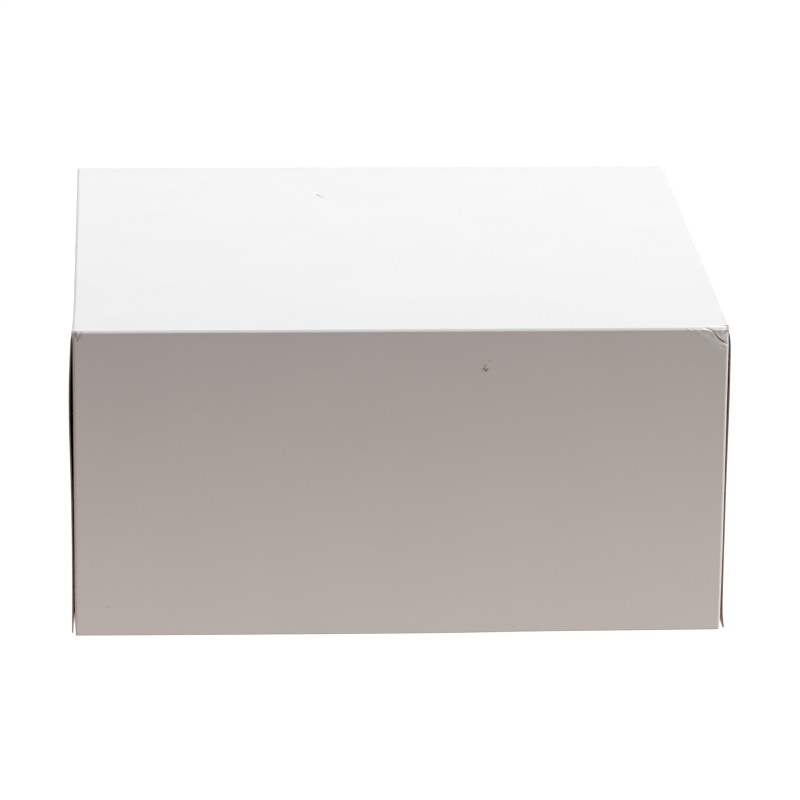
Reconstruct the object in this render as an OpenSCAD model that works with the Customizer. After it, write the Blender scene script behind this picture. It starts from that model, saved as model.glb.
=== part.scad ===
// A folding cake box of thin white-coated paperboard. The tray is one folded and glued piece. The lid
// hinges on the tray's back wall, and a full-height flap hangs from each of its other three edges,
// outside the tray's walls. Millimetres, +Z up, origin under the middle of the box, front towards -Y.

/* [Box] */
// Outside width, across the creases of the left and right flaps
box_w = 250; // [150:1:400]
// Outside depth, from the front flap to the back wall
box_d = 250; // [150:1:400]
// Height of the closed box
box_h = 122; // [80:1:200]

/* [Board] */
// Thickness of the paperboard
board_t = 0.5; // [0.3:0.05:1]
// Inside radius of a folded crease
crease_in_r = 0.5; // [0.3:0.1:1.5]

/* [Tray] */
// Length of the corner tabs that are glued to the side walls
tab_len = 38; // [15:1:60]
// How far the free end of a corner tab narrows above and below
tab_taper = 9; // [0:1:20]
// Clearance of the corner tabs from the bottom and from the top of the walls
tab_gap = 1.5; // [0.5:0.1:4]
// How far the side walls stop short of the tray's front and back faces
side_wall_setback = 0.6; // [0.2:0.1:3]

/* [Lid and flaps] */
// Gap between the lid and the top of the walls that it rests over
rest_gap = 0.3; // [0.1:0.05:1]
// Gap between a hanging flap and the tray wall behind it
wall_gap = 0.4; // [0.3:0.05:2]
// Gap between two panels at their common hinge line
hinge_gap = 0.1; // [0.05:0.05:0.3]
// Height of the front flap's lower edge above the floor
front_floor_gap = 0.4; // [0.3:0.1:10]
// Height of the side flaps' lower edges above the floor
side_floor_gap = 0.9; // [0.3:0.1:10]
// Gap between the front flap and the front edges of the side flaps
corner_gap = 0.4; // [0.2:0.1:3]
// How far the side flaps stop short of the box's back
side_back_gap = 1.6; // [0.5:0.1:10]
// Radius of the flaps' lower corners
flap_corner_r = 1; // [0.3:0.1:10]
// Length that wear has flattened along each edge of the lid's front right corner
worn_corner = 1.3; // [0:0.1:1.6]

/* [Bowing of the side flaps] */
// How far the left flap springs outwards just below its crease
left_spring = 0.75; // [0:0.05:3]
// Extra bulge of the left flap in its upper third
left_bulge = 0.8; // [0:0.05:3]
// Extra flare of the left flap at its lower edge
left_flare = 0.5; // [0:0.05:3]
// How far the right flap springs outwards just below its crease
right_spring = 0.75; // [0:0.05:3]
// Extra bulge of the right flap in its upper third
right_bulge = 0.05; // [0:0.05:3]
// Extra flare of the right flap at its lower edge
right_flare = 0.8; // [0:0.05:3]
// Distance below the crease over which a flap springs outwards
spring_run = 3; // [1:0.5:10]
// Distance of a bulge's crest below the crease
bulge_at = 32; // [15:1:60]
// Half length of a bulge
bulge_run = 20; // [8:1:40]

/* [Hidden] */
$fn = 48;

// Overlap of two shapes that are joined or cut
over = 1;
// Steps along the height of a bowed flap
bow_steps = 24;
// Shades of the coated board
white = [0.93, 0.93, 0.92];
shade = [0.86, 0.85, 0.83];

crease_r = crease_in_r + board_t;
half_t = board_t / 2;

// Outer faces of the tray's side walls and front wall, inside the hanging flaps
tray_x = box_w / 2 - board_t - wall_gap;
tray_front = -box_d / 2 + board_t + wall_gap;
tray_back = box_d / 2;
tray_top = box_h - board_t - rest_gap;
tray_bend_x = tray_x - board_t - crease_r;
side_wall_len = tray_back - tray_front - 2 * side_wall_setback;
tray_mid_y = (tray_front + tray_back) / 2;

// Hinge line of the lid, in the middle of the board at the box's upper back edge
lid_axis_y = box_d / 2 - half_t;
lid_axis_z = box_h - half_t;
lid_back = lid_axis_y - half_t - hinge_gap;

// Hinge lines of the flaps, in the middle of the board just below the lid's rolled creases
flap_axis_z = box_h - crease_r - hinge_gap - half_t;
side_axis_x = box_w / 2 - half_t;
front_axis_y = -box_d / 2 + half_t;
front_flap_len = flap_axis_z - front_floor_gap;
side_flap_len = flap_axis_z - side_floor_gap;
side_flap_front = -box_d / 2 + board_t + corner_gap;
side_flap_back = box_d / 2 - side_back_gap;
side_flap_w = side_flap_back - side_flap_front;
side_flap_mid_y = (side_flap_front + side_flap_back) / 2;

// How far a side flap stands outwards at a depth below its hinge line
function bow(depth, spring, bulge, flare) =
    (spring + bulge * exp(-pow((depth - bulge_at) / bulge_run, 2))) * (1 - exp(-depth / spring_run))
    + flare * pow(depth / side_flap_len, 3);

// Draws a flat outline (u, v) upright: u along X, v along Z, centred on Y
module facing_y(depth) {
    rotate([90, 0, 0]) linear_extrude(depth, center = true) children();
}

// Draws a flat outline (u, v) upright: u along Y, v along Z, centred on X
module facing_x(length) {
    rotate([90, 0, 90]) linear_extrude(length, center = true) children();
}

// Quarter ring of a crease round the origin, from straight down to straight out along +u
module crease_section() {
    intersection() {
        difference() {
            circle(crease_r);
            circle(crease_in_r);
        }
        translate([0, -crease_r]) square(crease_r);
    }
}

// A wall that bends up from the bottom: u outwards from the start of the crease, v up
module bent_wall_section(height) {
    translate([0, crease_r]) crease_section();
    translate([crease_in_r, crease_r]) square([board_t, height - crease_r]);
}

// Front or back wall with its crease at the bottom, standing at +Y of the given face
module end_wall(face) {
    translate([0, face - crease_r, 0])
        facing_x(2 * tray_bend_x) bent_wall_section(tray_top);
}

// Side wall with its crease at the bottom, on the +X side
module side_wall() {
    crease_len = tray_back - tray_front - 2 * crease_r;
    translate([tray_x - crease_r, tray_mid_y, 0]) {
        facing_y(crease_len) translate([0, crease_r]) crease_section();
        facing_y(side_wall_len)
            translate([crease_in_r, crease_r]) square([board_t, tray_top - crease_r]);
    }
}

// Corner tab glued inside a side wall, with the upright crease that joins it to an end wall
module corner_tab(face) {
    foot = board_t + tab_gap;
    head = tray_top - tab_gap;
    root = face - crease_r;
    translate([tray_bend_x, root, foot])
        linear_extrude(head - foot) mirror([0, 1]) crease_section();
    translate([tray_x - board_t - half_t, 0, 0]) facing_x(board_t)
        polygon([
            [root, foot],
            [root, head],
            [face - tab_len, head - tab_taper],
            [face - tab_len, foot + tab_taper]
        ]);
}

// Round bead along the top of the back wall, on the lid's hinge line
module back_bead() {
    translate([0, lid_axis_y, 0]) facing_x(2 * tray_bend_x) {
        translate([0, lid_axis_z]) circle(half_t);
        translate([-half_t, tray_top - over]) square([board_t, lid_axis_z - tray_top + over]);
    }
}

module tray() {
    color(shade) {
        bottom_w = 2 * (tray_x - crease_r);
        bottom_d = tray_back - tray_front - 2 * crease_r;
        translate([-bottom_w / 2, tray_front + crease_r, 0]) cube([bottom_w, bottom_d, board_t]);
        end_wall(tray_back);
        mirror([0, 1, 0]) end_wall(-tray_front);
        back_bead();
        for (side = [0, 1]) mirror([side, 0, 0]) {
            side_wall();
            corner_tab(tray_back);
            mirror([0, 1, 0]) corner_tab(-tray_front);
        }
    }
}

// Section of a panel from a to b, its top at v = top, with one end or both rolled down by radius r
module rolled_section(a, b, top, r, both, skirt) {
    b_straight = both ? b - r : b;
    if (skirt > 0) translate([a, top - r - skirt]) square([b - a, skirt]);
    intersection() {
        translate([a, top - r]) square([b - a, r]);
        union() {
            translate([a + r, top - r]) circle(r);
            translate([a + r, top - r]) square([b_straight - a - r, r]);
            if (both) translate([b - r, top - r]) circle(r);
        }
    }
}

// Body of the rolled lid, this far inside its outer face and open at the back by the given length
module lid_body(inset, r, back, skirt) {
    x = box_w / 2 - inset;
    intersection() {
        facing_y(2 * box_d) rolled_section(-x, x, box_h - inset, r, true, skirt);
        facing_x(2 * box_w) rolled_section(inset - box_d / 2, back, box_h - inset, r, false, skirt);
    }
}

// Everything outside the plane that wear has cut across the lid's front right corner
module corner_wear() {
    tip = [box_w / 2, -box_d / 2, box_h];
    size = 4 * crease_r;
    depth = worn_corner / sqrt(3);
    translate(tip) rotate([0, 0, -45]) rotate([0, acos(1 / sqrt(3)), 0])
        translate([-size, -size, -depth]) cube([2 * size, 2 * size, 2 * size]);
}

module lid() {
    color(white) difference() {
        lid_body(0, crease_r, lid_back, 0);
        lid_body(board_t, crease_in_r, lid_back + over, over);
        corner_wear();
    }
}

// Front view of a flap below its hinge line, with round lower corners
module flap_outline(width, length) {
    r = flap_corner_r;
    translate([-width / 2, r - length]) square([width, length - r + board_t]);
    translate([r - width / 2, -length]) square([width - 2 * r, r + over]);
    for (side = [-1, 1]) translate([side * (width / 2 - r), r - length]) circle(r);
}

// Section of a flap below its hinge line, with -u outwards, bowed as given
module flap_section(length, spring, bulge, flare) {
    depths = [for (i = [0 : bow_steps]) i * length / bow_steps];
    outs = [for (d = depths) bow(d, spring, bulge, flare)];
    circle(half_t);
    polygon(concat(
        [for (i = [0 : bow_steps]) [-outs[i] - half_t, -depths[i]]],
        [for (i = [bow_steps : -1 : 0]) [-outs[i] + half_t, -depths[i]]]
    ));
}

// A side flap that hangs from the origin and bows towards -Y
module side_flap(spring, bulge, flare) {
    reach = 2 * (board_t + spring + bulge + flare);
    intersection() {
        facing_x(side_flap_w) flap_section(side_flap_len, spring, bulge, flare);
        facing_y(2 * reach) flap_outline(side_flap_w, side_flap_len);
    }
}

module front_flap() {
    color(shade) translate([0, front_axis_y, flap_axis_z]) {
        facing_x(box_w) circle(half_t);
        facing_y(board_t) intersection() {
            flap_outline(box_w, front_flap_len);
            translate([-box_w / 2, -front_flap_len]) square([box_w, front_flap_len]);
        }
    }
}

module left_flap() {
    color(shade) translate([-side_axis_x, side_flap_mid_y, flap_axis_z]) rotate([0, 0, -90])
        side_flap(left_spring, left_bulge, left_flare);
}

module right_flap() {
    color(shade) translate([side_axis_x, side_flap_mid_y, flap_axis_z]) rotate([0, 0, 90])
        side_flap(right_spring, right_bulge, right_flare);
}

tray();
lid();
front_flap();
left_flap();
right_flap();
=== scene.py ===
import math

import bmesh
import bpy
import numpy as np
from bpy.props import FloatProperty, FloatVectorProperty, IntProperty, PointerProperty
from mathutils import Matrix, Vector


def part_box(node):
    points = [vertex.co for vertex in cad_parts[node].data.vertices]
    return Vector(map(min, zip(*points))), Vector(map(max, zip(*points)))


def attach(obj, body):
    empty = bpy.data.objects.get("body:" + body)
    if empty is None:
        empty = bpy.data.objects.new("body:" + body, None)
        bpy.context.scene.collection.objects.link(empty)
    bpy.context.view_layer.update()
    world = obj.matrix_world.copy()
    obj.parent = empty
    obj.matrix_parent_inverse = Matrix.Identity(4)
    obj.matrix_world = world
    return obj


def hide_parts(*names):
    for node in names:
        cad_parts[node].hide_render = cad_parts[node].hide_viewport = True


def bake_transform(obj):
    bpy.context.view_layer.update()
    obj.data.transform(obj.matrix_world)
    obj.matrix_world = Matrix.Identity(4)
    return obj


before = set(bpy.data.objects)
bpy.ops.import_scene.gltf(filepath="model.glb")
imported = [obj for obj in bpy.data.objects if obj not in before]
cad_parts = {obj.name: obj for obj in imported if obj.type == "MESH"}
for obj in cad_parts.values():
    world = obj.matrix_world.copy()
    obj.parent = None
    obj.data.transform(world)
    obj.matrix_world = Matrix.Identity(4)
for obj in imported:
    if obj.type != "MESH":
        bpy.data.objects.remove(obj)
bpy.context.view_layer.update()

bl_info = {
    "name": "Cake Box",
    "version": (1, 0, 0),
    "blender": (4, 5, 0),
    "location": "View3D > Sidebar > Cake Box",
    "description": "A folding cake box of white-coated paperboard, with its studio stage",
    "category": "Object",
}

MM = 0.001
QUARTER = math.radians(90)
# Tolerances: for a place that is met exactly, for the ends of a range, and for a cut
EXACT, ROUGHLY, CUT = 0.01 * MM, 0.1 * MM, 1e-7
# Faces that meet at less than this angle are shaded smooth
SMOOTH_BELOW = math.radians(38)
LID_LOW, LID_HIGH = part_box("lid")
TRAY_LOW, TRAY_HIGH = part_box("tray")
FLAP_LOW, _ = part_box("front_flap")
# Material slots of the inner face and the cut edges; the coated face has slot 0
KRAFT, EDGE = 1, 2
# Attribute with the place of each point in the closed box
REST_PLACE = "rest_place"


# Settings


def length(name, description, default):
    """A setting in metres."""
    return FloatProperty(name=name, description=description, unit="LENGTH", default=default)


def angle(name, description, degrees):
    """A setting that is an angle, given here in degrees."""
    return FloatProperty(
        name=name, description=description, unit="ROTATION", default=math.radians(degrees))


def number(name, description, default):
    """A setting without a unit."""
    return FloatProperty(name=name, description=description, default=default)


def swatch(name, description, default):
    """A setting that is a colour."""
    return FloatVectorProperty(
        name=name, description=description, subtype="COLOR", default=default)


class BoxSizes(bpy.types.PropertyGroup):
    """Sizes of the board and of the panels that it is folded into"""

    width: length("Width", "Outside width of the closed box", LID_HIGH[0] - LID_LOW[0])
    depth: length("Depth", "Outside depth, from the front flap to the back wall",
                  TRAY_HIGH[1] - FLAP_LOW[1])
    height: length("Height", "Height of the closed box", LID_HIGH[2])
    board: length("Board", "Thickness of the paperboard", 0.5 * MM)
    crease: length("Crease radius", "Outside radius of a folded crease", 1.0 * MM)
    seam: length("Seam", "Flat strip between a crease and the lid's own piece", 0.2 * MM)
    wall_drop: length("Wall drop", "From the lid's top down to the side and front walls", 1.6 * MM)
    tab: length("Corner tab", "Length of the tabs glued to the side walls", 38 * MM)
    tab_taper: length("Tab taper", "How far a tab's free end narrows above and below", 9 * MM)
    tab_gap: length("Tab gap", "From a tab to the bottom and to the walls' top", 1.5 * MM)
    front_floor_gap: length("Front gap", "Height of the front flap's lower edge", 0.1 * MM)
    side_floor_gap: length("Side gap", "Height of the side flaps' lower edges", 0.3 * MM)
    side_back_gap: length("Back gap", "From the side flaps to the box's back", 0.8 * MM)
    front_corner: length("Front corner", "Radius of the front's lower right corner", 1.2 * MM)
    side_corner: length("Side corners", "Radius of the side flaps' lower corners", 0.5 * MM)
    crease_steps: IntProperty(
        name="Crease steps", description="Facets round a folded crease", default=9)


class BoardColours(bpy.types.PropertyGroup):
    """Colours of the board's two faces, its core and the dirt on it"""

    coated: swatch("Coated face", "White clay coating", (0.75, 0.735, 0.72))
    kraft: swatch("Kraft face", "Uncoated brown inside", (0.45, 0.29, 0.18))
    core: swatch("Cut edge", "Fibre that shows in a cut edge", (0.31, 0.235, 0.21))
    dirt: swatch("Dirt", "Olive-grey marks on the coating", (0.20, 0.19, 0.13))


class StageSettings(bpy.types.PropertyGroup):
    """Camera, floor and light"""

    azimuth: angle("Azimuth", "How far the camera stands to the right of the front", -3.22)
    elevation: angle("Elevation", "How far the camera looks down", 16.97)
    roll: angle("Roll", "How far the camera is turned about its own line of sight", 0.595)
    distance: length("Distance", "From the camera to the box", 2.0925)
    offset: FloatVectorProperty(
        name="Offset", description="Place of the box in the picture, across and up",
        size=2, default=(-0.007175, -0.05345))
    lens: number("Lens", "Focal length in millimetres for a 36 mm sensor", 229.23)
    floor: swatch("Floor", "Colour of the pale floor", (1.0, 0.893, 0.84))
    floor_glow: number("Floor glow", "How brightly the table near the box lights it", 0.9)
    far_glow: number("Far glow", "How brightly the rest of the table lights the box", 0.3)
    floor_light_left: number("Floor light, left", "Share of the glow that lights the box", 0.895)
    floor_light_right: number("Floor light, right", "Share of the glow that lights the box", 1.0)
    lamp_power: number("Softbox power", "Power of the softbox overhead in watts", 49.0)
    side_power: number("Side softbox power", "Power of the softbox on the right in watts", 13.0)
    lamp_colour: swatch("Softbox colour", "Tint of the softboxes", (0.98, 0.99, 1.015))


SETTINGS = {
    "cake_box_sizes": BoxSizes,
    "cake_box_colours": BoardColours,
    "cake_box_stage": StageSettings,
}


def sizes():
    """The settings of the box."""
    return bpy.context.scene.cake_box_sizes


def colours():
    """The settings of the board's colours."""
    return bpy.context.scene.cake_box_colours


# Modelling by hand


def select(action):
    """Selects or deselects everything in edit mode."""
    bpy.ops.mesh.select_all(action=action)


def edit(obj):
    """Selects only this object and opens it in edit mode, with nothing selected."""
    if bpy.context.object and bpy.context.object.mode != "OBJECT":
        bpy.ops.object.mode_set(mode="OBJECT")
    bpy.ops.object.select_all(action="DESELECT")
    obj.select_set(True)
    bpy.context.view_layer.objects.active = obj
    bpy.ops.object.mode_set(mode="EDIT")
    bpy.ops.mesh.select_mode(type="EDGE")
    select("DESELECT")


def close():
    """Leaves edit mode."""
    bpy.ops.object.mode_set(mode="OBJECT")


def flat_sheet(name, x_range, y_range, z):
    """Adds a flat rectangle of board, facing up, and leaves it open in edit mode."""
    bpy.ops.object.select_all(action="DESELECT")
    bpy.ops.mesh.primitive_plane_add(size=1, location=(0, 0, 0))
    obj = bpy.context.object
    obj.name = name
    obj.data.name = name
    edit(obj)
    select("SELECT")
    size = (x_range[1] - x_range[0], y_range[1] - y_range[0], 1)
    bpy.ops.transform.resize(value=size, center_override=(0, 0, 0))
    middle = (sum(x_range) / 2, sum(y_range) / 2, z)
    bpy.ops.transform.translate(value=middle)
    select("DESELECT")
    return obj


def pick_edges(obj, test):
    """Selects the edges whose two ends both pass the test, and nothing else."""
    select("DESELECT")
    mesh = bmesh.from_edit_mesh(obj.data)
    count = 0
    for line in mesh.edges:
        if all(test(end.co) for end in line.verts):
            line.select_set(True)
            count += 1
    bmesh.update_edit_mesh(obj.data)
    if not count:
        raise RuntimeError(f"{obj.name}: no edge is where the fold should start")


def cut_lines(obj, axis, places):
    """Cuts the mesh across at these places along an axis."""
    normal = [0, 0, 0]
    normal[axis] = 1
    for place in places:
        point = [0, 0, 0]
        point[axis] = place
        select("SELECT")
        bpy.ops.mesh.bisect(plane_co=point, plane_no=normal, threshold=CUT)
    select("DESELECT")


def trim(obj, point, normal):
    """Cuts away what lies beyond a plane, on the side that its normal points to."""
    select("SELECT")
    bpy.ops.mesh.bisect(
        plane_co=point, plane_no=normal, clear_outer=True, threshold=CUT)
    select("DESELECT")


def round_corner(obj, place, outward, radius):
    """Rounds a panel's lower corner; outward points to it along the lower edge."""
    centre = place + radius * (Vector((0, 0, 1)) - outward)
    for degrees in (15, 30, 45, 60, 75):
        turn = math.radians(degrees)
        normal = outward * math.cos(turn) - Vector((0, 0, math.sin(turn)))
        trim(obj, centre + radius * normal, normal)


def fold(centre, axis, steps):
    """Folds the selected edge a quarter turn round a crease, right-handed about its axis."""
    bpy.ops.mesh.spin(steps=steps, angle=-QUARTER, center=centre, axis=axis)


def pull(value):
    """Extrudes the selected edge into a flat panel."""
    bpy.ops.mesh.extrude_region_move(TRANSFORM_OT_translate={"value": value})


def spaced(start, stop, step):
    """Places from start to stop, about a step apart, without the two ends."""
    count = max(1, round(abs(stop - start) / step))
    return [start + (stop - start) * i / count for i in range(1, count)]


def graded(start, *runs):
    """Places from start on, in runs that each have a stop and a step, with every stop."""
    places = []
    for stop, step in runs:
        places += spaced(start, stop, step) + [stop]
        start = stop
    return places


def near(a, b):
    """Whether two places are the same."""
    return abs(a - b) < EXACT


def ramp(values, start, stop):
    """0 before start and 1 beyond stop, with a straight way between."""
    return np.clip((values - start) / (stop - start), 0, 1)


def eased(values, start, stop):
    """0 before start and 1 beyond stop, with a smooth way between."""
    share = ramp(values, start, stop)
    return share * share * (3 - 2 * share)


def reshape(obj, move):
    """Moves the mesh's points as move(points) says, an array of one row per point."""
    points = np.empty(len(obj.data.vertices) * 3)
    obj.data.vertices.foreach_get("co", points)
    moved = move(points.reshape(-1, 3).copy())
    obj.data.vertices.foreach_set("co", moved.ravel())
    obj.data.update()


def thicken(obj, coating):
    """Gives a sheet its thickness, inwards, with kraft inside and fibre in the cut edges."""
    edit(obj)
    select("SELECT")
    bpy.ops.mesh.remove_doubles(threshold=1e-6)
    bpy.ops.mesh.normals_make_consistent(inside=False)
    close()
    for material in (coating, kraft_face(), cut_edge()):
        obj.data.materials.append(material)
    shell = obj.modifiers.new("board", "SOLIDIFY")
    shell.thickness = sizes().board
    shell.offset = -1
    shell.use_quality_normals = True
    shell.material_offset = KRAFT
    shell.material_offset_rim = EDGE
    bpy.ops.object.modifier_apply(modifier=shell.name)
    bpy.ops.object.shade_smooth_by_angle(angle=SMOOTH_BELOW)
    keep_rest_place(obj)


def keep_rest_place(obj):
    """Stores where each point lies in the closed box, for the patterns of the board."""
    points = np.empty(len(obj.data.vertices) * 3, np.float32)
    obj.data.vertices.foreach_get("co", points)
    layer = obj.data.attributes.new(REST_PLACE, "FLOAT_VECTOR", "POINT")
    layer.data.foreach_set("vector", points)


# Materials


def feed(tree, socket, value):
    """Links a value that is a socket into this socket, or else sets it."""
    if isinstance(value, bpy.types.NodeSocket):
        tree.links.new(value, socket)
    else:
        socket.default_value = value


def nodes_of(tree):
    """Gives two short helpers for one node tree: one adds a node, one links two."""

    def add(kind, inputs=None, **settings):
        node = tree.nodes.new(kind)
        for key, value in settings.items():
            setattr(node, key, value)
        for key, value in (inputs or {}).items():
            feed(tree, node.inputs[key], value)
        return node

    def maths(operation, *values, clamp=False):
        node = tree.nodes.new("ShaderNodeMath")
        node.operation = operation
        node.use_clamp = clamp
        for index, value in enumerate(values):
            feed(tree, node.inputs[index], value)
        return node.outputs[0]

    return add, maths


def group(name, inputs, outputs):
    """Starts a node group. An input without a default is a vector; all else is a number."""
    tree = bpy.data.node_groups.new(name, "ShaderNodeTree")
    for label, default in inputs.items():
        kind = "NodeSocketVector" if default is None else "NodeSocketFloat"
        socket = tree.interface.new_socket(name=label, in_out="INPUT", socket_type=kind)
        if default is not None:
            socket.default_value = default
    for label in outputs:
        tree.interface.new_socket(name=label, in_out="OUTPUT", socket_type="NodeSocketFloat")
    add, maths = nodes_of(tree)
    return tree, add("NodeGroupInput").outputs, add("NodeGroupOutput").inputs, add, maths


def smooth_step(add, value, low, high, to_low=0.0, to_high=1.0):
    """Maps a value to a mask, smoothly from one end to the other."""
    return add(
        "ShaderNodeMapRange", interpolation_type="SMOOTHSTEP",
        inputs={"Value": value, "From Min": low, "From Max": high,
                "To Min": to_low, "To Max": to_high}).outputs["Result"]


def about_0(maths, noise, strength):
    """Moves a noise's middle to 0 and scales it."""
    return maths("MULTIPLY", maths("SUBTRACT", noise.outputs["Fac"], 0.5), strength)


def mottling_group():
    """Soft clouds and fine grain of a coated board: tone about 1, and a height."""
    tree, given, out, add, maths = group(
        "board_mottling",
        {"Place": None, "Clouds": 0.02, "Grain": 0.01},
        ("Tone", "Height"))
    clouds = add("ShaderNodeTexNoise", inputs={
        "Vector": given["Place"], "Scale": 34.0, "Detail": 3.0, "Roughness": 0.55})
    grain = add("ShaderNodeTexNoise", inputs={
        "Vector": given["Place"], "Scale": 1500.0, "Detail": 2.0})
    cloud_tone = about_0(maths, clouds, given["Clouds"])
    grain_tone = about_0(maths, grain, given["Grain"])
    tone = maths("ADD", maths("ADD", cloud_tone, grain_tone), 1.0)
    tree.links.new(tone, out["Tone"])
    tree.links.new(grain.outputs["Fac"], out["Height"])
    return tree


def fibre_group():
    """Long pale and dark fibres of uncoated board: a tone about 1, and a height."""
    tree, given, out, add, maths = group(
        "board_fibre",
        {"Place": None, "Strength": 0.35},
        ("Tone", "Height"))
    layers = []
    for turn, scale in ((0.4, 420.0), (-0.7, 610.0), (1.9, 300.0)):
        laid = add("ShaderNodeMapping", inputs={
            "Vector": given["Place"], "Rotation": (turn, turn * 0.7, turn * 1.3),
            "Scale": (1.0, 0.09, 0.6)})
        layers.append(add("ShaderNodeTexNoise", inputs={
            "Vector": laid.outputs["Vector"], "Scale": scale * 3, "Detail": 2.0,
            "Roughness": 0.6}).outputs["Fac"])
    mean = maths("DIVIDE", maths("ADD", maths("ADD", layers[0], layers[1]), layers[2]), 3.0)
    tone = maths("ADD", maths("MULTIPLY", maths("SUBTRACT", mean, 0.5),
                              given["Strength"]), 1.0)
    tree.links.new(tone, out["Tone"])
    tree.links.new(mean, out["Height"])
    return tree


def edge_band_group():
    """Band along an edge, for wear and for painted light: 1 at the edge, fading unevenly over the
    given width.
    """
    tree, given, out, add, maths = group(
        "edge_band",
        {"Place": None, "Distance": 1.0, "Width": 0.0004,
         "Unevenness": 0.6},
        ("Mask",))
    ragged = add("ShaderNodeTexNoise", inputs={
        "Vector": given["Place"], "Scale": 900.0, "Detail": 3.0})
    shift = about_0(maths, ragged, given["Unevenness"])
    share = maths("DIVIDE", given["Distance"], given["Width"])
    mask = smooth_step(add, maths("ADD", share, shift), 1.15, 0.75)
    tree.links.new(mask, out["Mask"])
    return tree


def spot_group():
    """Round mark with an uneven outline: 1 inside the radius."""
    tree, given, out, add, maths = group(
        "spot",
        {"Place": None, "Centre": None, "Radius": 0.001,
         "Softness": 0.3, "Unevenness": 0.5},
        ("Mask",))
    gap = add("ShaderNodeVectorMath", operation="DISTANCE", inputs={
        0: given["Place"], 1: given["Centre"]}).outputs["Value"]
    ragged = add("ShaderNodeTexNoise", inputs={
        "Vector": given["Place"], "Scale": 1300.0, "Detail": 2.0})
    shift = about_0(maths, ragged, given["Unevenness"])
    share = maths("ADD", maths("DIVIDE", gap, given["Radius"]), shift)
    mask = smooth_step(add, share, maths("ADD", 1.0, given["Softness"]), maths(
        "SUBTRACT", 1.0, given["Softness"]))
    tree.links.new(mask, out["Mask"])
    return tree


def line_mark_group():
    """Straight thin mark between two points: 1 on the line."""
    tree, given, out, add, maths = group(
        "line_mark",
        {"Place": None, "Start": None, "End": None,
         "Width": 0.0003},
        ("Mask",))

    def vector(operation, a, b):
        node = add("ShaderNodeVectorMath", operation=operation, inputs={0: a, 1: b})
        single = operation in ("DOT_PRODUCT", "DISTANCE")
        return node.outputs["Value" if single else "Vector"]

    run = vector("SUBTRACT", given["End"], given["Start"])
    out_to = vector("SUBTRACT", given["Place"], given["Start"])
    share = maths("DIVIDE", vector("DOT_PRODUCT", out_to, run),
                  vector("DOT_PRODUCT", run, run), clamp=True)
    scaled = add("ShaderNodeVectorMath", operation="SCALE", inputs={0: run, "Scale": share})
    gap = vector("DISTANCE", out_to, scaled.outputs["Vector"])
    mask = smooth_step(add, maths("DIVIDE", gap, given["Width"]), 1.0, 0.2)
    tree.links.new(mask, out["Mask"])
    return tree


GROUPS = {
    "board_mottling": mottling_group, "board_fibre": fibre_group, "edge_band": edge_band_group,
    "spot": spot_group, "line_mark": line_mark_group,
}


def shared(name):
    """The node group of this name, built on its first use."""
    return bpy.data.node_groups.get(name) or GROUPS[name]()


def use_group(add, name, **inputs):
    """Adds a shared group; its inputs are named as its sockets are, in small letters."""
    labels = {key.replace("_", " ").capitalize(): value for key, value in inputs.items()}
    return add("ShaderNodeGroup", node_tree=shared(name), inputs=labels).outputs


def empty_tree(holder):
    """Empties the node tree of a material or world: gives the tree and its two helpers."""
    holder.use_nodes = True
    holder.node_tree.nodes.clear()
    return holder.node_tree, *nodes_of(holder.node_tree)


def blank_material(name):
    """Starts a material: its tree, its helpers, its shader and the rest place."""
    material = bpy.data.materials.new(name)
    tree, add, maths = empty_tree(material)
    shader = add("ShaderNodeBsdfPrincipled")
    output = add("ShaderNodeOutputMaterial")
    tree.links.new(shader.outputs["BSDF"], output.inputs["Surface"])
    place = add("ShaderNodeAttribute", attribute_name=REST_PLACE).outputs["Vector"]
    return material, tree, add, maths, shader, place


def mixed(add, mask, below, above):
    """Colour that goes from below to above where the mask is 1."""
    return add("ShaderNodeMix", data_type="RGBA",
               inputs={0: mask, 6: below, 7: above}).outputs[2]


def toned(add, colour, tone):
    """Colour times a tone about 1."""
    return add("ShaderNodeVectorMath", operation="SCALE",
               inputs={0: tuple(colour), "Scale": tone}).outputs["Vector"]


def bumped(add, shader, height, distance):
    """Gives a shader relief of this depth in metres."""
    bump = add("ShaderNodeBump", inputs={
        "Height": height, "Distance": distance, "Strength": 1.0})
    bump.id_data.links.new(bump.outputs["Normal"], shader.inputs["Normal"])


def bare_board(name, colour, fibres, clouds, grain, roughness, shine, relief):
    """Uncoated fibre. The material is built on its first use and then shared."""
    known = bpy.data.materials.get(name)
    if known:
        return known
    material, tree, add, maths, shader, place = blank_material(name)
    fibre = use_group(add, "board_fibre", place=place, strength=fibres)
    patches = use_group(add, "board_mottling", place=place, clouds=clouds, grain=grain)
    tone = maths("MULTIPLY", fibre["Tone"], patches["Tone"])
    tree.links.new(toned(add, colour, tone), shader.inputs["Base Color"])
    shader.inputs["Roughness"].default_value = roughness
    shader.inputs["Specular IOR Level"].default_value = shine
    bumped(add, shader, fibre["Height"], relief)
    return material


def kraft_face():
    """Uncoated brown inside of the board."""
    return bare_board("kraft_face", colours().kraft, fibres=0.55,
                      clouds=0.16, grain=0.1, roughness=0.85, shine=0.25, relief=0.04 * MM)


def cut_edge():
    """Pressed fibre that shows where the board is cut."""
    return bare_board("cut_edge", colours().core, fibres=0.9,
                      clouds=0.0, grain=0.0, roughness=0.9, shine=0.2, relief=0.05 * MM)


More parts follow.
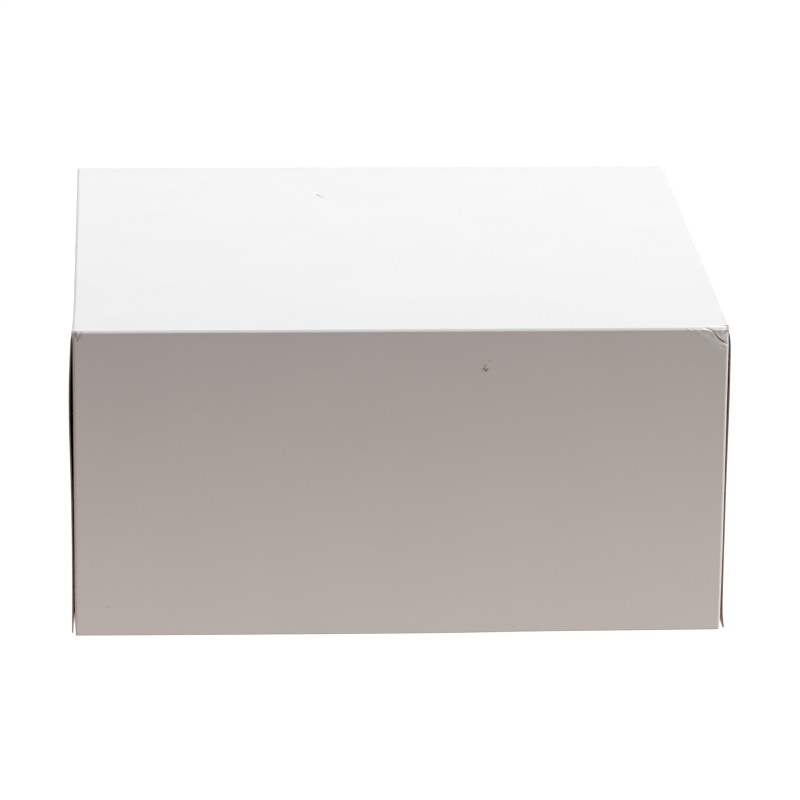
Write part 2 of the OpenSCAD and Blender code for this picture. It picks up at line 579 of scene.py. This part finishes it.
def coated_face(name, spots=(), line_marks=(), wear_and_painted_light=None, seen_along=None):
    """White clay coating, with its marks: dirt and wear, and also painted highlights and shade. Each
    mark is its places, size, colour and strength.

    The marks are laid on the face along one axis, in which their own places are 0.
    """
    material, tree, add, maths, shader, place = blank_material(name)
    keep = [0.0 if axis == seen_along else 1.0 for axis in range(3)]
    laid = add("ShaderNodeVectorMath", operation="MULTIPLY",
               inputs={0: place, 1: keep}).outputs["Vector"]
    clouds = use_group(add, "board_mottling", place=place, clouds=0.045, grain=0.02)
    colour = toned(add, colours().coated, clouds["Tone"])
    rough, range_of_rough = 0.42, 0.05
    for centre, radius, softness, unevenness, paint, strength in spots:
        mask = use_group(add, "spot", place=laid, centre=centre, radius=radius,
                         softness=softness, unevenness=unevenness)["Mask"]
        colour = mixed(add, maths("MULTIPLY", mask, strength), colour, (*paint, 1))
    for start, end, width, paint, strength in line_marks:
        mask = use_group(add, "line_mark", place=laid, start=start, end=end,
                         width=width)["Mask"]
        colour = mixed(add, maths("MULTIPLY", mask, strength), colour, (*paint, 1))
    if wear_and_painted_light:
        colour = wear_and_painted_light(add, maths, place, colour)
    tree.links.new(colour, shader.inputs["Base Color"])
    shade = add("ShaderNodeMapRange", inputs={
        "Value": clouds["Height"], "To Min": rough - range_of_rough,
        "To Max": rough + range_of_rough})
    tree.links.new(shade.outputs["Result"], shader.inputs["Roughness"])
    shader.inputs["Specular IOR Level"].default_value = 0.4
    bumped(add, shader, clouds["Height"], 0.006 * MM)
    return material


# Shape of the board


def distance_to_line(points, line):
    """Distance of flat points (u, v) to a chain of points, signed by its side."""
    best = np.full(len(points), np.inf)
    sign = np.ones(len(points))
    for a, b in zip(line[:-1], line[1:]):
        a, b = np.array(a), np.array(b)
        run = b - a
        share = np.clip(((points - a) @ run) / (run @ run), 0, 1)
        offset = points - (a + share[:, None] * run)
        gap = np.hypot(offset[:, 0], offset[:, 1])
        side = run[0] * (points[:, 1] - a[1]) - run[1] * (points[:, 0] - a[0])
        closer = gap < best
        best = np.where(closer, gap, best)
        sign = np.where(closer, np.where(side < 0, -1.0, 1.0), sign)
    return best * sign


# Creases of the crushed corner, in millimetres from the right edge and down from the top
CRESCENT = ((9.5, 0.1), (8.0, 0.5), (6.6, 0.9), (5.6, 1.65), (5.05, 2.8), (4.3, 3.95),
            (3.3, 4.95), (2.35, 5.65), (1.4, 5.95), (0.5, 6.5), (-0.5, 7.2))
FAR_CREASE = ((16.0, 0.2), (12.0, 2.6), (10.2, 3.8), (9.0, 4.75), (7.7, 5.45), (6.0, 6.3),
              (4.7, 6.9), (3.0, 7.5), (1.0, 8.2), (-0.5, 8.6))
# Press across each crease: distance towards the corner, and how far in the board goes there
CRESCENT_PRESS = ((-1.5, 0.0), (-0.8, -0.03), (-0.45, -0.2), (0.0, 0.3), (0.1, 0.32),
                  (0.4, 0.12), (0.8, 0.18), (1.5, 0.38), (5.0, 1.5), (8.0, 2.1))
FAR_PRESS = ((-1.5, 0.0), (-0.3, 0.0), (0.15, -0.11), (0.6, 0.06), (0.95, 0.1), (1.3, 0.0),
             (1.75, 0.12), (2.5, 0.22), (4.0, 0.42), (9.0, 1.1))
# Where the crescent crease has cracked open: its points, and how dark each stretch is. The
# near-black line there is partly the core that shows in the crack and partly painted shade of the
# deep fold
CRACK_AND_SHADE = ((6.9, 0.8), (6.3, 0.9), (5.5, 1.5), (4.93, 2.7), (4.1, 3.75), (3.1, 4.65), (2.1, 5.35),
         (1.45, 5.6))
CRACK_AND_SHADE_DARKNESS = (0.25, 0.3, 0.4, 0.7, 0.95, 1.0, 0.7)

# Wrinkles of the other corner: a line from the left edge and down, its depth and half width
WRINKLES = (
    (((3.24, 0.7), (2.6, 1.7), (2.0, 2.6), (1.83, 3.5)), 0.2, 0.3),
    (((1.0, 0.9), (1.45, 2.3), (1.83, 3.5)), 0.16, 0.3),
)
# How far the lid's sides stand out past the plain box: distance behind the front, in millimetres
RIGHT_SIDE = ((0, 0.65), (8, 0.6), (14, 0.4), (40, 0.4), (62, 0.5), (80, 0.6), (110, 0.45),
              (150, 0.3), (200, 0.25), (250, 0.3))
LEFT_SIDE = ((0, 0.6), (3, 0.45), (6, 0.3), (12, 0.05), (40, -0.15), (90, -0.2), (170, -0.2),
             (210, -0.1), (250, 0.0))
# Where the crush of the corner fades out, in millimetres: across, down and behind the front
CRUSH_ACROSS, CRUSH_DOWN, CRUSH_BEHIND = (20, 16), (12, 10), (5.4, 0.9)
# Tangent of the angle at which the camera looks down
SIGHT_FALL = 0.305
# Cut edges of the front flap: side, width of the rolled strip, and depth of the roll
SOFT_EDGES = ((1, 1.0 * MM, 0.95 * MM), (-1, 0.45 * MM, 0.22 * MM))
# Share of the roll that is drawn, so that its end isn't upright
ROLL_END = 0.96
# How far the front flap's foot stands forward: in the middle, and more on the left
BELLY_ARCH, BELLY_LEFT = 0.8 * MM, 1.05 * MM
# Slope of each crease, as shares of its radius: across, down, and how straight it runs
CREASE_SLOPES = {"right": (0.4, 0.4, 1.6), "left": (1.0, 0.6, 1.6), "front": (0.95, 0.88, 1.85)}


def flatten_creases(points):
    """Turns the round creases into a narrow slope with tight bends at both ends."""
    box = sizes()
    r = box.crease
    down = box.height - points[:, 2]
    faces = (("right", 0, box.width / 2), ("left", 0, -box.width / 2),
             ("front", 1, -box.depth / 2))
    for name, axis, face in faces:
        wide, fall, straight = CREASE_SLOPES[name]
        inward = -1 if face > 0 else 1
        across = (points[:, axis] - face) * inward
        on_crease = (across < r + 1e-7) & (down < r + 1e-7) & (
            np.abs(np.hypot(r - across, r - down) - r) < 1e-5)
        level = np.clip(1 - across / r, 0, 1) ** straight
        upright = np.clip(1 - down / r, 0, 1) ** straight
        new_across = face + inward * wide * r * (1 - level)
        new_height = box.height - fall * r * (1 - upright)
        points[:, axis] = np.where(on_crease, new_across, points[:, axis])
        points[:, 2] = np.where(on_crease, new_height, points[:, 2])
    return points


def spread_sides(points):
    """Draws the lid's side creases out or in, as the board has sprung."""
    box = sizes()
    half = box.width / 2
    behind = (points[:, 1] + box.depth / 2) / MM
    down = np.maximum(box.height - points[:, 2], 0) / (2.2 * MM)
    for side, table in ((1, RIGHT_SIDE), (-1, LEFT_SIDE)):
        share = ramp(side * points[:, 0], half - 20 * MM, half - 2 * MM)
        out = np.interp(behind, *zip(*table)) * share ** 2 * np.exp(-down ** 2)
        points[:, 0] += side * out * MM
    return points


def press_corners(points):
    """Crushes the box's upper front right corner and dents the upper left one.

    The board gives way along the line from the camera, so that the outline stays.
    """
    box = sizes()
    half = box.width / 2
    down = (box.height - points[:, 2]) / MM
    behind = (points[:, 1] + box.depth / 2) / MM
    across = (half - points[:, 0]) / MM
    flat = np.stack([across, down], 1)
    reach = ramp(across, *CRUSH_ACROSS) * ramp(down, *CRUSH_DOWN)
    press = np.interp(distance_to_line(flat, CRESCENT), *zip(*CRESCENT_PRESS))
    press += np.interp(distance_to_line(flat, FAR_CREASE), *zip(*FAR_PRESS))
    press *= reach
    flat = np.stack([(half + points[:, 0]) / MM, down], 1)
    for line, depth, width in WRINKLES:
        press += depth * np.exp(-(distance_to_line(flat, line) / width) ** 2)
    push = press * eased(behind, *CRUSH_BEHIND) * MM
    points[:, 1] += push
    points[:, 2] -= SIGHT_FALL * push
    return points


def soften_front_sides(points):
    """Rolls the cut left and right edges of the front flap slightly back."""
    box = sizes()
    half = box.width / 2
    hangs = ramp(box.height - points[:, 2], box.crease, box.crease + 2.5 * MM)
    for side, width, back in SOFT_EDGES:
        share = ramp(side * points[:, 0], half - width, half)
        points[:, 1] += hangs * back * (1 - np.sqrt(1 - share ** 2 * ROLL_END))
    wide = ramp(points[:, 0], half - 12 * MM, half) * ramp(points[:, 2], 8 * MM, 33 * MM)
    points[:, 0] += 0.2 * MM * hangs * wide
    return points


def belly_front(points):
    """Lets the front flap's lower part stand forward, more so on its left."""
    box = sizes()
    share = np.clip((box.height - box.crease - points[:, 2]) / box.height, 0, 1)
    arch = 1 - (2 * points[:, 0] / box.width) ** 2
    left = eased(points[:, 0], 60 * MM, 10 * MM)
    points[:, 1] -= (BELLY_ARCH * arch + BELLY_LEFT * left) * share
    return points


def meet_side_creases(points):
    """Lowers the ends of the front crease to the slope of the side creases."""
    box = sizes()
    for name, side in (("right", 1), ("left", -1)):
        wide, fall, _ = CREASE_SLOPES[name]
        beyond = side * points[:, 0] - (box.width / 2 - wide * box.crease)
        share = np.clip(beyond / (wide * box.crease), 0, 1)
        roof = box.height - fall * box.crease * (1 - np.sqrt(1 - share ** 2))
        points[:, 2] = np.where(beyond > 0, np.minimum(points[:, 2], roof), points[:, 2])
    return points


# How far a side flap's front edge stands outwards: depth below the hinge, bow, in millimetres
LEFT_BOW = ((0, 0), (0.4, 0.5), (1.5, 0.82), (4.5, 0.98), (10, 1.25), (18, 1.6), (27, 1.77),
            (38, 1.72), (52, 1.4), (66, 1.15), (86, 1.02), (102, 1.06), (112, 1.15), (120, 1.25))
RIGHT_BOW = ((0, 0), (0.4, 0.55), (1.5, 0.95), (4.5, 1.12), (10, 1.25), (27, 1.33), (45, 1.15),
             (66, 0.98), (85, 0.95), (102, 0.95), (110, 0.98), (114, 1.05), (117, 1.35), (120, 1.75))
# How finely the bow is drawn along the depth, and how often it is smoothed
BOW_SAMPLES, BOW_ROUNDS = 400, 40


def bow_of(depth, behind, table):
    """Outward bow of a side flap, in metres, fading from its front edge towards the back."""
    depths, bows = (np.array(column, float) for column in zip(*table))
    fine = np.linspace(0, depths[-1], BOW_SAMPLES)
    smooth = np.interp(fine, depths, bows)
    for _ in range(BOW_ROUNDS):
        smooth[1:-1] = (smooth[:-2] + 2 * smooth[1:-1] + smooth[2:]) / 4
    bow = np.interp(depth / MM, fine, smooth) * MM
    return bow / (1 + (behind / (1.6 * depth + 2 * MM)) ** 2)


def corner_lines(box):
    """Places across the width where the sheet is cut finely, near both front corners."""
    half = box.width / 2
    flat = half - box.crease - box.seam
    lines = [-half + w * MM for w in (0.12, 0.25, 0.4, 0.6, 0.8)] + [-flat, -half + box.crease]
    lines += graded(-flat, (-half + 5 * MM, 0.25 * MM), (half - 20 * MM, 14 * MM),
                    (half - 9 * MM, 0.33 * MM), (flat, 0.17 * MM))
    lines += [half - box.crease] + [half - w * MM for w in (0.8, 0.62, 0.46, 0.32, 0.2, 0.1)]
    return lines


# The pieces


class BOX_OT_tray(bpy.types.Operator):
    """Fold the tray: bottom, four walls and the corner tabs glued inside the side walls"""

    bl_idname = "cake_box.tray"
    bl_label = "Tray"

    def execute(self, context):
        box = sizes()
        r = box.crease
        wall_x, front, back = TRAY_HIGH[0], TRAY_LOW[1], box.depth / 2
        wall_top = TRAY_HIGH[2] - box.wall_drop
        bend = wall_x - box.board - r
        tray = flat_sheet("tray_board", (r - wall_x, wall_x - r), (front + r, back - r), 0)
        cut_lines(tray, 0, (-bend, bend))
        cut_lines(tray, 0, spaced(-bend, bend, 30 * MM))
        cut_lines(tray, 1, spaced(front + r, back - r, 30 * MM))
        for side in (-1, 1):
            pick_edges(tray, lambda p: near(p.x, side * (wall_x - r)) and near(p.z, 0))
            fold((side * (wall_x - r), 0, r), (0, -side, 0), box.crease_steps)
            pull((0, 0, wall_top - r))
        foot, head = box.board + box.tab_gap, wall_top - box.tab_gap
        for side, face in ((-1, front), (1, back)):
            line = face - side * r
            pick_edges(tray, lambda p: near(p.y, line) and near(p.z, 0)
                       and abs(p.x) < bend + ROUGHLY)
            fold((0, line, r), (side, 0, 0), box.crease_steps)
            top = wall_top if side < 0 else box.height - r - box.seam
            for low, high in ((r, foot), (foot, head), (head, top)):
                pull((0, 0, high - low))
            for end in (-1, 1):
                pick_edges(tray, lambda p: near(p.x, end * bend) and near(p.y, face)
                           and foot - ROUGHLY < p.z < head + ROUGHLY)
                fold((end * bend, line, 0), (0, 0, -end * side), box.crease_steps)
                pull((0, -side * (box.tab - r), 0))
                for level, step in ((foot, box.tab_taper), (head, -box.tab_taper)):
                    self.narrow(tray, end, face - side * box.tab, level, step)
        close()
        thicken(tray, coated_face("tray_coating"))
        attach(tray, "tray")
        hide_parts("tray")
        return {"FINISHED"}

    @staticmethod
    def narrow(tray, end, y, level, step):
        """Moves one corner of a tab's free end along the wall."""
        select("DESELECT")
        bpy.ops.mesh.select_mode(type="VERT")
        mesh = bmesh.from_edit_mesh(tray.data)
        for point in mesh.verts:
            p = point.co
            if near(p.y, y) and near(p.z, level) and p.x * end > 0:
                point.select_set(True)
        bmesh.update_edit_mesh(tray.data)
        bpy.ops.transform.translate(value=(0, 0, step))
        bpy.ops.mesh.select_mode(type="EDGE")


class BOX_OT_lid(bpy.types.Operator):
    """Make the lid's flat panel with the back crease that joins it to the tray"""

    bl_idname = "cake_box.lid"
    bl_label = "Lid"

    def execute(self, context):
        box = sizes()
        r = box.crease
        half, deep, top = box.width / 2, box.depth / 2, box.height
        flat = half - r - box.seam
        bend = TRAY_HIGH[0] - box.board - r
        lid = flat_sheet("lid_board", (-flat, flat), (-deep + r + box.seam, deep - r), top)
        cut_lines(lid, 0, [x for x in corner_lines(box) if abs(x) < flat - EXACT] + [-bend, bend])
        cut_lines(lid, 1, spaced(-deep + r + box.seam, -deep + 6 * MM, 0.5 * MM))
        cut_lines(lid, 1, spaced(-deep + 6 * MM, deep - r, 15 * MM))
        pick_edges(lid, lambda p: near(p.y, deep - r) and abs(p.x) < bend + ROUGHLY)
        fold((0, deep - r, top - r), (-1, 0, 0), box.crease_steps)
        pull((0, 0, -box.seam))
        close()
        reshape(lid, spread_sides)
        reshape(lid, press_corners)
        dark, pale = (0.1, 0.1, 0.1), (0.86, 0.86, 0.86)
        spots = [
            ((-24.6 * MM, 80.4 * MM, 0), 0.9 * MM, 0.6, 0.3, pale, 0.7),
            ((-24.9 * MM, 75.4 * MM, 0), 0.8 * MM, 0.6, 0.3, pale, 0.7),
        ]
        nick = ((-24.6, 78.6), (-24.35, 76.8), (-24.0, 76.1), (-23.2, 74.8), (-22.3, 74.0),
                (-21.7, 73.2))
        widths = (0.45, 0.6, 0.75, 0.75, 0.75)
        depths = (0.75, 0.45, 0.33, 0.26, 0.14)
        lines = [
            ((a[0] * MM, a[1] * MM, 0), (b[0] * MM, b[1] * MM, 0), width * MM, dark, depth)
            for a, b, width, depth in zip(nick[:-1], nick[1:], widths, depths)
        ]
        thicken(lid, coated_face("lid_coating", spots, lines, seen_along=2))
        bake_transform(lid)
        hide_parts("lid")
        return {"FINISHED"}


class BOX_OT_front_flap(bpy.types.Operator):
    """Make the front flap with its rolled crease, soft cut edges and crushed corner"""

    bl_idname = "cake_box.front_flap"
    bl_label = "Front flap"

    def execute(self, context):
        box = sizes()
        r = box.crease
        half, deep, top = box.width / 2, box.depth / 2, box.height
        foot = box.front_floor_gap
        flap = flat_sheet("front_flap_board", (-half, half), (-deep + r, -deep + r + box.seam), top)
        pick_edges(flap, lambda p: near(p.y, -deep + r))
        fold((0, -deep + r, top - r), (1, 0, 0), box.crease_steps)
        pull((0, 0, foot - top + r))
        round_corner(flap, Vector((half, 0, foot)), Vector((1, 0, 0)), box.front_corner)
        self.slant_left_corner(flap, half, foot)
        cut_lines(flap, 0, corner_lines(box))
        cut_lines(flap, 2, graded(top - r, (top - 8 * MM, 0.17 * MM), (top - 12 * MM, 0.33 * MM),
                                  (10 * MM, 8 * MM)) + [5 * MM, 2.5 * MM])
        close()
        for change in (flatten_creases, soften_front_sides, belly_front, meet_side_creases,
                       spread_sides, press_corners):
            reshape(flap, change)
        thicken(flap, self.coating(box))
        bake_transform(flap)
        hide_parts("front_flap")
        return {"FINISHED"}

    @staticmethod
    def slant_left_corner(flap, half, foot):
        """Slants the rubbed lower left corner: drops above the foot and insets, in millimetres."""
        slant = ((5, 0.0), (3, 0.04), (1.2, 0.12), (0, 0.2))
        for (drop, inset), (low_drop, low_inset) in zip(slant[:-1], slant[1:]):
            start = (-half + inset * MM, 0, foot + drop * MM)
            trim(flap, start, (low_drop - drop, 0, inset - low_inset))

    @staticmethod
    def coating(box):
        """The front's coating with its dirt, its left edge rubbed down to the core, its rubbed
        corners, and painted highlights and shade on its crushed corner, wrinkles, right edge and
        foot.
        """
        dirt = tuple(colours().dirt)
        half, top = box.width / 2, box.height

        def at(x, z):
            return (x * MM, 0, z * MM)

        def right(across, down):
            return (half - across * MM, 0, top - down * MM)

        def left(across, down):
            return (across * MM - half, 0, top - down * MM)

        def chain(points, place, width, paint, depths):
            return [(place(*a), place(*b), width * MM, paint, depth)
                    for a, b, depth in zip(points[:-1], points[1:], depths)]

        speck_and_crease_shade, olive = (0.2, 0.18, 0.17), (0.22, 0.2, 0.15)
        tan, plum, cream = (0.62, 0.54, 0.45), (0.5, 0.36, 0.34), (0.86, 0.84, 0.78)
        spots = [
            (at(31.4, 105.9), 0.75 * MM, 0.5, 0.7, dirt, 0.3),
            (at(33.4, 109.6), 0.32 * MM, 0.5, 0.3, speck_and_crease_shade, 0.5),
            (at(34.4, 109.2), 0.32 * MM, 0.5, 0.3, speck_and_crease_shade, 0.25),
            (at(-112.5, 11.7), 0.5 * MM, 0.5, 0.3, dirt, 0.25),
            (left(0.6, 1.0), 1.3 * MM, 0.45, 0.6, plum, 0.8),
            (left(2.8, 2.6), 0.8 * MM, 0.6, 0.5, (0.66, 0.66, 0.54), 0.6),
            (left(2.1, 1.5), 0.5 * MM, 0.6, 0.5, cream, 0.4),
            # Pale patch on the crushed corner's facets that face up: painted highlight
            (right(2.2, 2.2), 2.7 * MM, 0.3, 0.4, (0.86, 0.88, 0.87), 0.75),
            (right(0.0, 1.4), 0.9 * MM, 0.4, 0.7, tan, 0.8),
            (right(0.42, 1.75), 0.36 * MM, 0.4, 0.5, olive, 0.85),
            (right(1.35, 2.4), 0.5 * MM, 0.5, 0.6, olive, 0.4),
        ]
        hook = ((32.1, 107.9), (31.65, 106.5), (32.4, 105.5), (33.0, 106.3))
        lines = chain(hook, at, 0.48, dirt, (0.55, 0.75, 0.8))
        # Pale band on the facet between the crescent and the far crease, which faces up: painted
        # highlight
        lines += chain(((11.0, 1.9), (7.9, 3.2), (5.7, 5.0), (2.7, 7.0), (0.6, 7.5)), right, 1.7,
                       (0.88, 0.9, 0.9), (0.6, 0.6, 0.6, 0.5))
        # Grey band on the front crease at the crushed corner: painted shade
        lines += chain(((7.5, 0.6), (5.2, 0.7), (3.0, 0.8), (1.2, 0.9)), right, 1.2,
                       (0.5, 0.52, 0.5), (0.35, 0.5, 0.5))
        # Cream line along the crescent: painted highlight on its lip
        lines += chain(CRESCENT[2:], right, 0.3, cream, (0.35, 0.5, 0.7, 0.7, 0.7, 0.7, 0.6, 0.4))
        # Faint dark line along the far crease: painted shade in its fold
        lines += chain(FAR_CREASE[:8], right, 0.3, speck_and_crease_shade, (0.14,) * 7)
        # Near-black line in the crescent's crack: the core and painted shade of the fold
        lines += chain(CRACK_AND_SHADE, right, 0.36, (0.05, 0.045, 0.04), CRACK_AND_SHADE_DARKNESS)
        # Cream line by the right edge near the corner: painted highlight
        lines += chain(((1.3, 1.2), (0.8, 1.95), (0.4, 2.6)), right, 0.3, cream, (0.7, 0.7))
        # Dark olive lines along the wrinkles: painted shade in their folds
        for line, depth, width in WRINKLES:
            lines += chain(line, left, 0.42, olive, (0.28, 0.42, 0.38))

        def wear_and_painted_light(add, maths, place, colour):
            """Shows the core at the left edge with a darker mauve band beside it, paints a pale
            highlight along the right edge, and browns the foot with the core's colour and painted
            contact shadow.
            """
            parts = add("ShaderNodeSeparateXYZ", inputs={"Vector": place}).outputs
            low = maths("ADD", parts["X"], box.width / 2)
            hangs = smooth_step(add, parts["Z"], box.height - 0.6 * MM,
                                box.height - 1.6 * MM)
            high = maths("SUBTRACT", box.width / 2 + 0.2 * MM, parts["X"])
            below = smooth_step(add, parts["Z"], box.height - 4 * MM,
                                box.height - 8 * MM)
            up = maths("SUBTRACT", parts["Z"], box.front_floor_gap)
            for distance, reach, unevenness, where, paint, depth in (
                    (low, 1.0, 0.3, hangs, (0.62, 0.55, 0.56), 0.9),
                    (low, 0.42, 0.3, hangs, (0.63, 0.51, 0.39), 0.95),
                    # Pale band along the right edge: painted highlight
                    (high, 1.0, 0.3, below, (0.93, 0.92, 0.9), 0.9),
                    # Brown band along the foot: the core's colour and painted contact shadow
                    (up, 0.3, 0.5, 1.0, (0.34, 0.25, 0.22), 0.55)):
                edge_band_mask = use_group(add, "edge_band", place=place, distance=distance,
                                 width=reach * MM, unevenness=unevenness)
                mask = maths("MULTIPLY", maths("MULTIPLY", edge_band_mask["Mask"], where), depth)
                colour = mixed(add, mask, colour, (*paint, 1))
            return colour

        return coated_face("front_coating", spots, lines, wear_and_painted_light, seen_along=1)


class BOX_OT_side_flaps(bpy.types.Operator):
    """Make the left and right flaps with their rolled creases and their bow"""

    bl_idname = "cake_box.side_flaps"
    bl_label = "Side flaps"

    def execute(self, context):
        box = sizes()
        r = box.crease
        half, deep, top = box.width / 2, box.depth / 2, box.height
        foot = box.side_floor_gap
        front, back = -deep + r + box.seam, deep - box.side_back_gap
        hinge_gap = 0.1 * MM
        hinge = top - r - hinge_gap - box.board / 2
        bows = {-1: LEFT_BOW, 1: RIGHT_BOW}
        for side, name in ((-1, "left_flap"), (1, "right_flap")):
            edge = side * (half - r)
            strip = sorted((edge, edge - side * box.seam))
            flap = flat_sheet(f"{name}_board", strip, (front, back), top)
            pick_edges(flap, lambda p: near(p.x, edge))
            fold((edge, 0, top - r), (0, side, 0), box.crease_steps)
            pull((0, 0, foot - top + r))
            for y, way in ((front, -1), (back, 1)):
                round_corner(flap, Vector((0, y, foot)), Vector((0, way, 0)), box.side_corner)
            cut_lines(flap, 1, spaced(front, front + 6 * MM, 0.5 * MM))
            cut_lines(flap, 1, spaced(front + 6 * MM, back, 15 * MM))
            cut_lines(flap, 2, [top - r - d * MM for d in (0.5, 1, 1.6, 2.3, 3.2, 4.4, 6, 8, 11)])
            cut_lines(flap, 2, spaced(top - r - 11 * MM, foot + 6 * MM, 4 * MM))
            cut_lines(flap, 2, [foot + 6 * MM, foot + 3 * MM, foot + 1.5 * MM])
            close()

            def lean(points, side=side, table=bows[side]):
                """Bows the flap outwards below its hinge line."""
                depth = np.clip(hinge - points[:, 2], 0, hinge - foot)
                points[:, 0] += side * bow_of(depth, points[:, 1] - front, table)
                return points

            for change in (flatten_creases, lean, spread_sides, press_corners):
                reshape(flap, change)
            thicken(flap, coated_face(f"{name}_coating"))
            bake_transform(flap)
            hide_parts(name)
        return {"FINISHED"}


# Shift that brings the middle of the bright part of the table to 0, and that part's soft edge
BRIGHT_SHIFT, BRIGHT_EDGE = (-0.15, -0.45, 0), (0.97, 0.8)
# Half width of the dark patch under the box: painted shadow for the camera, and no glow there for
# the light on the box
UNDER_SEEN, UNDER_LIT = 126.2 * MM, 124.0 * MM
# Soft ends of that patch in front and behind
UNDER_DEEP = (117 * MM, 97 * MM)
# Brightness of the table and of the room for the camera, and of the room for the box
TABLE_SEEN, ROOM_SEEN, ROOM_LIT = 1.03, 1.0, 0.02


class BOX_OT_stage(bpy.types.Operator):
    """Set up the pale floor, the two softboxes and the camera"""

    bl_idname = "cake_box.stage"
    bl_label = "Studio stage"

    def execute(self, context):
        stage = context.scene.cake_box_stage
        self.floor(stage)
        self.softbox(stage, "softbox", 2.0, stage.lamp_power, (0.1, 0.5, 1.6), 0)
        self.softbox(stage, "side_softbox", 0.8, stage.side_power, (1.6, 0.1, 0.5), QUARTER)
        self.surroundings(context)
        self.camera(context, stage)
        context.scene.view_settings.view_transform = "Standard"
        return {"FINISHED"}

    @staticmethod
    def floor(stage):
        """Lays a table that the camera sees white, but for a painted shadow under the box, and that
        lights the box from below.
        """
        bpy.ops.object.select_all(action="DESELECT")
        bpy.ops.mesh.primitive_plane_add(size=8, location=(0, 0, 0))
        floor = bpy.context.object
        floor.name = "floor"
        bpy.ops.object.transform_apply(location=True, rotation=True, scale=True)
        material = bpy.data.materials.new("lit_table")
        tree, add, maths = empty_tree(material)
        place = add("ShaderNodeTexCoord").outputs["Object"]
        centred = add("ShaderNodeMapping", inputs={
            "Vector": place, "Location": BRIGHT_SHIFT}).outputs["Vector"]
        away = add("ShaderNodeVectorMath", operation="LENGTH",
                   inputs={0: centred}).outputs["Value"]
        near_box = smooth_step(add, away, *BRIGHT_EDGE)
        parts = add("ShaderNodeSeparateXYZ", inputs={"Vector": place}).outputs
        wide, deep = (maths("ABSOLUTE", parts[axis]) for axis in ("X", "Y"))

        def open_floor(edge):
            """1 on the open floor and 0 under the box, as far as this edge at the sides: a painted
            shadow for the camera, and no glow under the box for the light.
            """
            under = maths("MULTIPLY", smooth_step(add, wide, edge + 0.4 * MM, edge),
                          smooth_step(add, deep, *UNDER_DEEP))
            return maths("SUBTRACT", 1.0, under)

        seen = add("ShaderNodeLightPath").outputs["Is Camera Ray"]
        share = smooth_step(add, parts["X"], -0.5, 0.5, stage.floor_light_left,
                            stage.floor_light_right)
        given = maths("ADD", maths("MULTIPLY", near_box, stage.floor_glow), stage.far_glow)
        given = maths("MULTIPLY", maths("MULTIPLY", given, share), open_floor(UNDER_LIT))
        # The camera sees the floor dark under the box: a painted shadow
        plain = maths("MULTIPLY", open_floor(UNDER_SEEN), TABLE_SEEN)
        glow = maths("ADD", maths("MULTIPLY", seen, plain), maths(
            "MULTIPLY", maths("SUBTRACT", 1.0, seen), given))
        tint = mixed(add, seen, (*stage.floor, 1), (1, 1, 1, 1))
        shader = add("ShaderNodeBsdfPrincipled", inputs={
            "Base Color": (0.05, 0.05, 0.05, 1), "Roughness": 0.9,
            "Specular IOR Level": 0.0, "Emission Color": tint, "Emission Strength": glow})
        output = add("ShaderNodeOutputMaterial")
        tree.links.new(shader.outputs["BSDF"], output.inputs["Surface"])
        floor.data.materials.append(material)

    @staticmethod
    def softbox(stage, name, size, power, place, turn):
        """Hangs a square softbox, facing down, or turned about Y to face the box."""
        lamp = bpy.data.lights.new(name, "AREA")
        lamp.shape = "SQUARE"
        lamp.size = size
        lamp.energy = power
        lamp.color = stage.lamp_colour
        holder = bpy.data.objects.new(name, lamp)
        bpy.context.collection.objects.link(holder)
        holder.location = place
        holder.rotation_euler = (0, turn, 0)
        holder.visible_camera = False

    @staticmethod
    def surroundings(context):
        """Makes a dark room that the camera sees white."""
        world = bpy.data.worlds.new("studio")
        context.scene.world = world
        tree, add, maths = empty_tree(world)
        seen = add("ShaderNodeLightPath").outputs["Is Camera Ray"]
        level = maths("ADD", maths("MULTIPLY", seen, ROOM_SEEN - ROOM_LIT), ROOM_LIT)
        shader = add("ShaderNodeBackground", inputs={"Strength": level})
        output = add("ShaderNodeOutputWorld")
        tree.links.new(shader.outputs["Background"], output.inputs["Surface"])

    @staticmethod
    def camera(context, stage):
        """Sets the camera as far round and up as the settings say."""
        a, e, turn = stage.azimuth, stage.elevation, stage.roll
        back = Vector((math.sin(a) * math.cos(e), -math.cos(a) * math.cos(e), math.sin(e)))
        right = Vector((math.cos(a), math.sin(a), 0))
        up = back.cross(right)
        right, up = (right * math.cos(turn) + up * math.sin(turn),
                     up * math.cos(turn) - right * math.sin(turn))
        place = back * stage.distance - right * stage.offset[0] - up * stage.offset[1]
        camera = bpy.data.objects.new("camera", bpy.data.cameras.new("camera"))
        context.collection.objects.link(camera)
        camera.data.sensor_width = 36
        camera.data.lens = stage.lens
        camera.data.clip_end = 20
        camera.matrix_world = Matrix.Translation(place) @ Matrix(
            (right, up, back)).transposed().to_4x4()
        context.scene.camera = camera


class BOX_PT_panel(bpy.types.Panel):
    """Lists the pieces of the cake box in the order in which they are made"""

    bl_label = "Cake Box"
    bl_idname = "BOX_PT_panel"
    bl_space_type = "VIEW_3D"
    bl_region_type = "UI"
    bl_category = "Cake Box"

    def draw(self, context):
        for operator in OPERATORS:
            self.layout.operator(operator.bl_idname)
        for name, kind in SETTINGS.items():
            group_of = getattr(context.scene, name)
            column = self.layout.column()
            for key in kind.__annotations__:
                column.prop(group_of, key)


OPERATORS = (BOX_OT_stage, BOX_OT_tray, BOX_OT_lid, BOX_OT_front_flap, BOX_OT_side_flaps)
CLASSES = (*SETTINGS.values(), *OPERATORS, BOX_PT_panel)


def register():
    for item in CLASSES:
        bpy.utils.register_class(item)
    for name, kind in SETTINGS.items():
        setattr(bpy.types.Scene, name, PointerProperty(type=kind))


def unregister():
    for name in SETTINGS:
        delattr(bpy.types.Scene, name)
    for item in reversed(CLASSES):
        bpy.utils.unregister_class(item)


def main():
    register()
    bpy.ops.cake_box.stage()
    bpy.ops.cake_box.tray()
    bpy.ops.cake_box.lid()
    bpy.ops.cake_box.front_flap()
    bpy.ops.cake_box.side_flaps()


if __name__ == "__main__":
    main()
